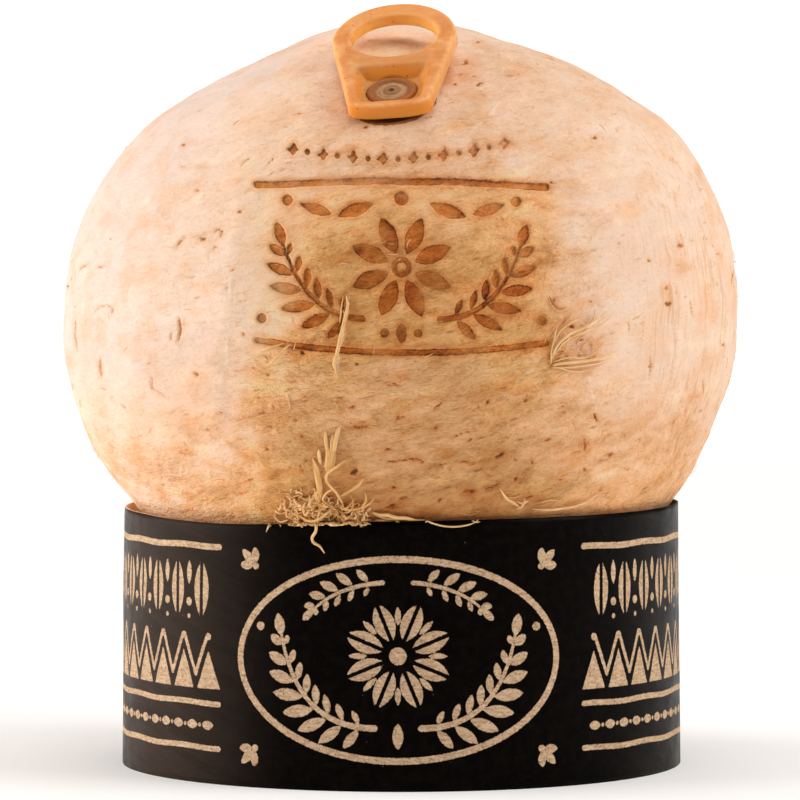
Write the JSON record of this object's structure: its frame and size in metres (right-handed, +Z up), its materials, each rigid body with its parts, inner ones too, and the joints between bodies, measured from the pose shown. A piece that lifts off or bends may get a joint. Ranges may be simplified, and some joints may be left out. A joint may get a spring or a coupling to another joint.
{
  "type": "trimmed young coconut with ring-pull opener",
  "caption": "Trimmed young coconut with a plastic ring-pull opener in its top, standing in a printed card sleeve.",
  "frame": {"origin": "middle of the flat cut that the fruit stands on, at floor level", "axes": "+Z up through the fruit's tip, -Y towards the side that the ring pull faces"},
  "size_m": [0.1209, 0.1208, 0.1349],
  "materials": {
    "husk": "shaved fibrous husk, matte",
    "printed_card": "kraft card printed black, soft sheen",
    "plug_plastic": "moulded, cloudy, satin",
    "ring_plastic": "moulded, amber and translucent, satin"
  },
  "bodies": {
    "fruit": {"coconut": "husk", "sleeve": "printed_card", "opener_plug": "plug_plastic"},
    "ring": {"pull_ring": "ring_plastic"}
  },
  "joints": [
    {"name": "ring_lift", "type": "hinge", "parent": "fruit", "child": "ring", "pos_m": [-0.00194, -0.04674, 0.11553], "axis": [0.9938, -0.0872, 0.0683], "range_deg": [0, 75]}
  ]
}
